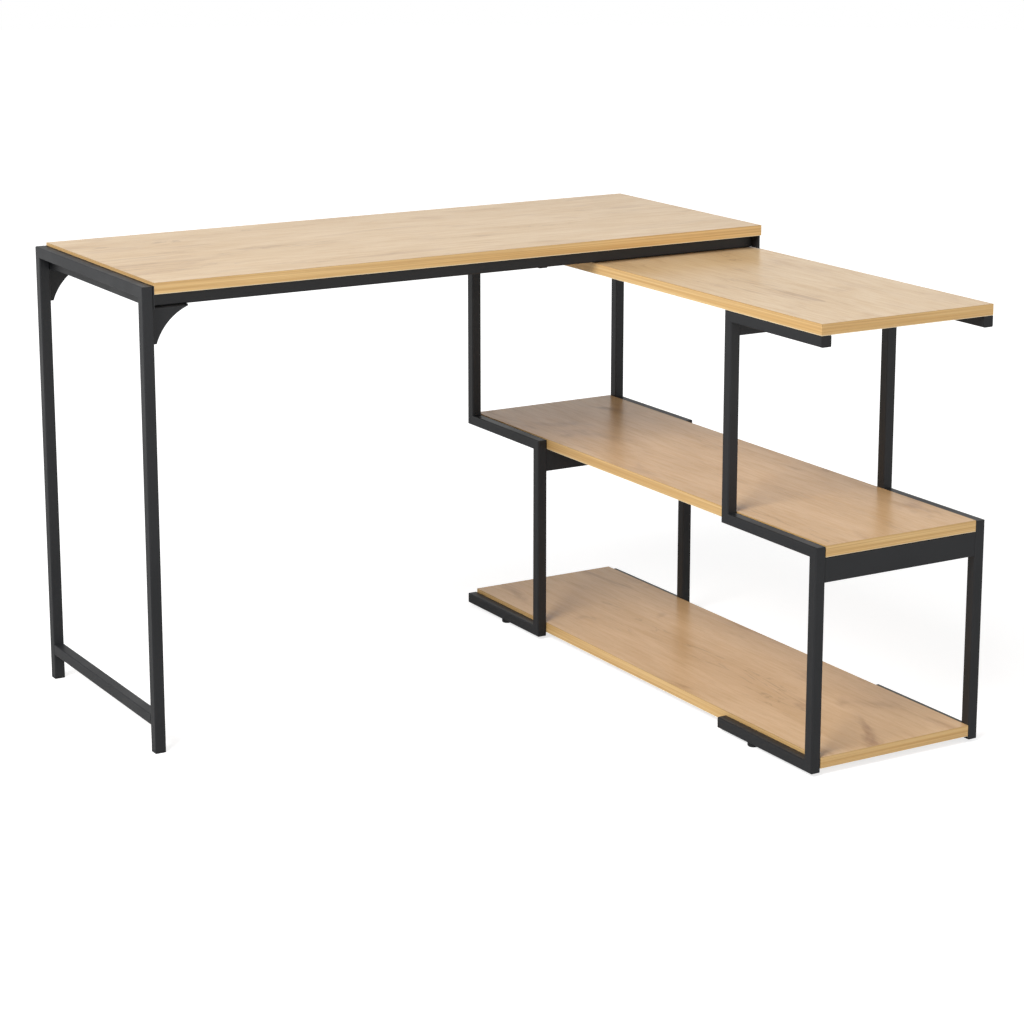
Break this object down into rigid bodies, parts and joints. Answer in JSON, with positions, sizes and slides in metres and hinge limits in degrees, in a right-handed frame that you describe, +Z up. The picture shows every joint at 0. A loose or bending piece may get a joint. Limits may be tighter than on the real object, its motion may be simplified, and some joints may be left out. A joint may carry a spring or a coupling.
{
  "type": "corner desk",
  "caption": "Corner desk with oak-look boards and a dark steel frame; the desk wing turns on a pivot over a long open stepped shelf unit.",
  "frame": {"origin": "on the floor, at the middle of the object's outer box in plan", "axes": "+X along the desk wing from its legs to the shelf unit, +Y away from the person at the desk, +Z up"},
  "size_m": [1.15, 1.06, 0.75],
  "materials": {
    "oak_laminate": "satin oak laminate",
    "oak_edge_band": "satin oak edge band",
    "powder_coated_steel": "matt anthracite powder coat",
    "black_plastic": "matt moulded",
    "white_nylon": "turned nylon",
    "zinc_plated_steel": "bright zinc"
  },
  "bodies": {
    "shelf_unit": {"back_bottom_bar": "powder_coated_steel", "back_middle_plate": "powder_coated_steel", "back_top_plate": "powder_coated_steel", "backing_plate": "powder_coated_steel", "backing_screw_1": "zinc_plated_steel", "backing_screw_2": "zinc_plated_steel", "backing_screw_3": "zinc_plated_steel", "backing_screw_4": "zinc_plated_steel", "bottom_shelf_board": "oak_laminate", "bottom_shelf_edge_band": "oak_edge_band", "far_back_bottom_plug": "black_plastic", "far_back_glide": "black_plastic", "far_back_step_frame": "powder_coated_steel", "far_back_top_plug": "black_plastic", "far_front_bottom_plug": "black_plastic", "far_front_glide": "black_plastic", "far_front_step_frame": "powder_coated_steel", "far_front_top_plug": "black_plastic", "front_bottom_bar": "powder_coated_steel", "front_middle_plate": "powder_coated_steel", "front_top_plate": "powder_coated_steel", "middle_shelf_board": "oak_laminate", "middle_shelf_edge_band": "oak_edge_band", "near_back_bottom_plug": "black_plastic", "near_back_glide": "black_plastic", "near_back_step_frame": "powder_coated_steel", "near_back_top_plug": "black_plastic", "near_front_bottom_plug": "black_plastic", "near_front_glide": "black_plastic", "near_front_step_frame": "powder_coated_steel", "near_front_top_plug": "black_plastic", "pivot_bush": "white_nylon", "top_shelf_board": "oak_laminate", "top_shelf_edge_band": "oak_edge_band", "turning_disc": "white_nylon"},
    "desk_wing": {"back_bracket_bolt": "zinc_plated_steel", "back_foot_plug": "black_plastic", "back_gusset": "powder_coated_steel", "back_leg": "powder_coated_steel", "back_rail": "powder_coated_steel", "desk_board": "oak_laminate", "desk_board_screw_1": "zinc_plated_steel", "desk_board_screw_2": "zinc_plated_steel", "desk_board_screw_3": "zinc_plated_steel", "desk_board_screw_4": "zinc_plated_steel", "desk_edge_band": "oak_edge_band", "end_plate": "powder_coated_steel", "front_bracket_bolt": "zinc_plated_steel", "front_foot_plug": "black_plastic", "front_gusset": "powder_coated_steel", "front_leg": "powder_coated_steel", "front_rail": "powder_coated_steel", "joining_plate": "powder_coated_steel", "leg_end_rail": "powder_coated_steel", "leg_stretcher": "powder_coated_steel", "pivot_bolt": "zinc_plated_steel", "pivot_channel": "powder_coated_steel", "pivot_nut": "zinc_plated_steel", "pivot_washer": "zinc_plated_steel"}
  },
  "joints": [
    {"name": "wing_pivot", "type": "hinge", "parent": "shelf_unit", "child": "desk_wing", "pos_m": [0.411, 0.305, 0.709], "axis": [0, 0, 1], "continuous": true}
  ]
}
